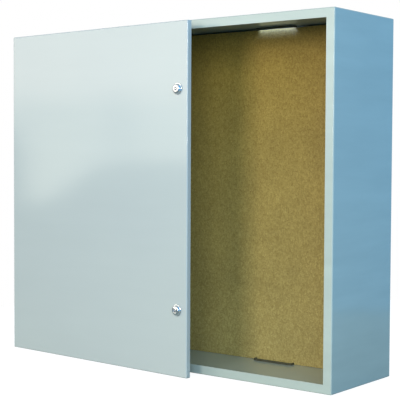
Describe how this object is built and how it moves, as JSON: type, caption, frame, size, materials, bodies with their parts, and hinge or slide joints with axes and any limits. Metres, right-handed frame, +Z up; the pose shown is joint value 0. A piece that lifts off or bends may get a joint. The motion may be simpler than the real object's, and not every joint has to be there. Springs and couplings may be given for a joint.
{
  "type": "steel wall enclosure",
  "caption": "Wall enclosure of folded sheet steel with a mounting board inside and a take-off hinged door with cam locks, standing beside its open front.",
  "frame": {"origin": "middle of the four wall holes, on the rear face", "axes": "+X to the right along the front, +Y back into the wall, +Z up; the door's front faces -Y"},
  "size_m": [0.932, 0.3158, 0.8],
  "materials": {
    "cabinet_paint": "light grey powder coat, fine texture, semi-gloss",
    "door_paint": "light grey powder coat, smooth and glossy",
    "chipboard": "bare wood-based board, fine flecked surface",
    "zinc_steel": "zinc-plated steel",
    "bright_steel": "bright drawn steel",
    "lock_chrome": "nickel-chromed zinc casting",
    "black_rubber": "black rubber",
    "foam_gasket": "dark foamed sealing strip",
    "spacer_plastic": "black moulded plastic"
  },
  "bodies": {
    "cabinet": {"cabinet_shell": "cabinet_paint", "back_panel": "cabinet_paint", "backboard": "chipboard", "board_studs": "zinc_steel", "board_spacers": "spacer_plastic", "board_washers": "zinc_steel", "board_nuts": "zinc_steel", "hinge_screws": "zinc_steel", "hinge_screw_nuts": "zinc_steel", "top_slot_strip": "black_rubber", "bottom_slot_strip": "black_rubber", "cabinet_earth_stud": "zinc_steel", "cabinet_earth_nuts": "zinc_steel"},
    "hinge_leaves": {"upper_hinge_leaf": "zinc_steel", "lower_hinge_leaf": "zinc_steel", "upper_hinge_pin": "bright_steel", "lower_hinge_pin": "bright_steel"},
    "door": {"door_panel": "door_paint", "upper_hinge_knuckles": "zinc_steel", "lower_hinge_knuckles": "zinc_steel", "door_gasket": "foam_gasket", "left_door_rail": "door_paint", "right_door_rail": "door_paint", "door_earth_stud": "zinc_steel", "door_earth_nuts": "zinc_steel", "upper_lock_housing": "lock_chrome", "lower_lock_housing": "lock_chrome", "upper_lock_seal": "black_rubber", "lower_lock_seal": "black_rubber", "upper_lock_nut": "zinc_steel", "lower_lock_nut": "zinc_steel"},
    "upper_lock": {"upper_lock_core": "lock_chrome", "upper_lock_cam": "zinc_steel", "upper_cam_screw": "zinc_steel"},
    "lower_lock": {"lower_lock_core": "lock_chrome", "lower_lock_cam": "zinc_steel", "lower_cam_screw": "zinc_steel"}
  },
  "joints": [
    {"name": "door_take_off", "type": "slide", "parent": "cabinet", "child": "hinge_leaves", "axis": [0.9988, 0.048, 0.012], "range_m": [0, 0.33341]},
    {"name": "door_swing", "type": "hinge", "parent": "hinge_leaves", "child": "door", "pos_m": [-0.6246, -0.2751, 0], "axis": [0, 0, 1], "range_deg": [-97.2, 2.8]},
    {"name": "upper_lock_turn", "type": "hinge", "parent": "door", "child": "upper_lock", "pos_m": [-0.06543, -0.30785, 0.242], "axis": [-0.0488, -0.9988, 0], "range_deg": [0, 90]},
    {"name": "lower_lock_turn", "type": "hinge", "parent": "door", "child": "lower_lock", "pos_m": [-0.06543, -0.30785, -0.25], "axis": [-0.0488, -0.9988, 0], "range_deg": [0, 90]}
  ]
}
